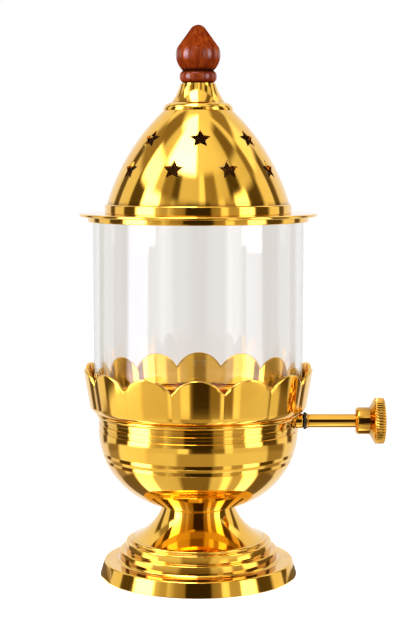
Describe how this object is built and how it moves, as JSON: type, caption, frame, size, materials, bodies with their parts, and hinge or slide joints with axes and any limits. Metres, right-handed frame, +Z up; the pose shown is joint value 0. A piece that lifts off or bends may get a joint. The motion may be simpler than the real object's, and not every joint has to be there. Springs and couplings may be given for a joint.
{
  "type": "oil lamp",
  "caption": "Brass akhand diya oil lamp with a lotus-petal collar, clear glass chimney, star-pierced domed lid, wooden finial and a side knob that raises the wick",
  "frame": {"origin": "centre of the foot on the surface it stands on", "axes": "+Z up the lamp axis to the finial, +X along the spindle to the knob, the front faces -Y"},
  "size_m": [0.1168, 0.0904, 0.2101],
  "materials": {
    "brass_polished": "mirror polish",
    "brass_turned": "fine turned satin",
    "steel_fastener": "plated satin",
    "glass_clear": "clear, fire-polished ends",
    "wood_finial": "turned and varnished",
    "rubber_black": "matte",
    "cotton_wick": "braided cotton"
  },
  "bodies": {
    "stand": {"foot": "brass_polished", "foot_washer": "steel_fastener", "foot_nut": "steel_fastener", "bowl_stud": "steel_fastener", "bowl": "brass_polished", "petal_collar": "brass_polished", "glass_seat": "brass_turned", "burner_bridge": "brass_turned", "bridge_screws": "brass_turned", "wick_tube": "brass_turned", "spindle_bracket": "brass_turned", "spindle_bush": "brass_polished", "packing_ring": "rubber_black"},
    "wick_drive": {"spindle": "brass_polished", "spur_wheel": "brass_turned", "spindle_clip": "steel_fastener", "spindle_washer": "brass_polished", "wick_knob": "brass_polished"},
    "wick_body": {"wick": "cotton_wick"},
    "glass": {"glass_chimney": "glass_clear"},
    "lid": {"lid_brim": "brass_polished", "lid_dome": "brass_polished", "lid_collar": "brass_polished", "lid_finial": "wood_finial", "finial_screw": "steel_fastener", "finial_washer": "steel_fastener"}
  },
  "joints": [
    {"name": "wick_turn", "type": "hinge", "parent": "stand", "child": "wick_drive", "pos_m": [0, -0.007, 0.0607], "axis": [1, 0, 0], "range_deg": [-70, 120]},
    {"name": "wick_raise", "type": "slide", "parent": "stand", "child": "wick_body", "axis": [0, 0, 1], "range_m": [-0.005, 0.008]},
    {"name": "glass_lift", "type": "slide", "parent": "stand", "child": "glass", "axis": [0, 0, 1], "range_m": [0, 0.05]},
    {"name": "lid_lift", "type": "slide", "parent": "glass", "child": "lid", "axis": [0, 0, 1], "range_m": [0, 0.06]}
  ],
  "couplings": [
    {"joint": "wick_raise", "follows": "wick_turn", "m_per_rad": 0.0037}
  ]
}
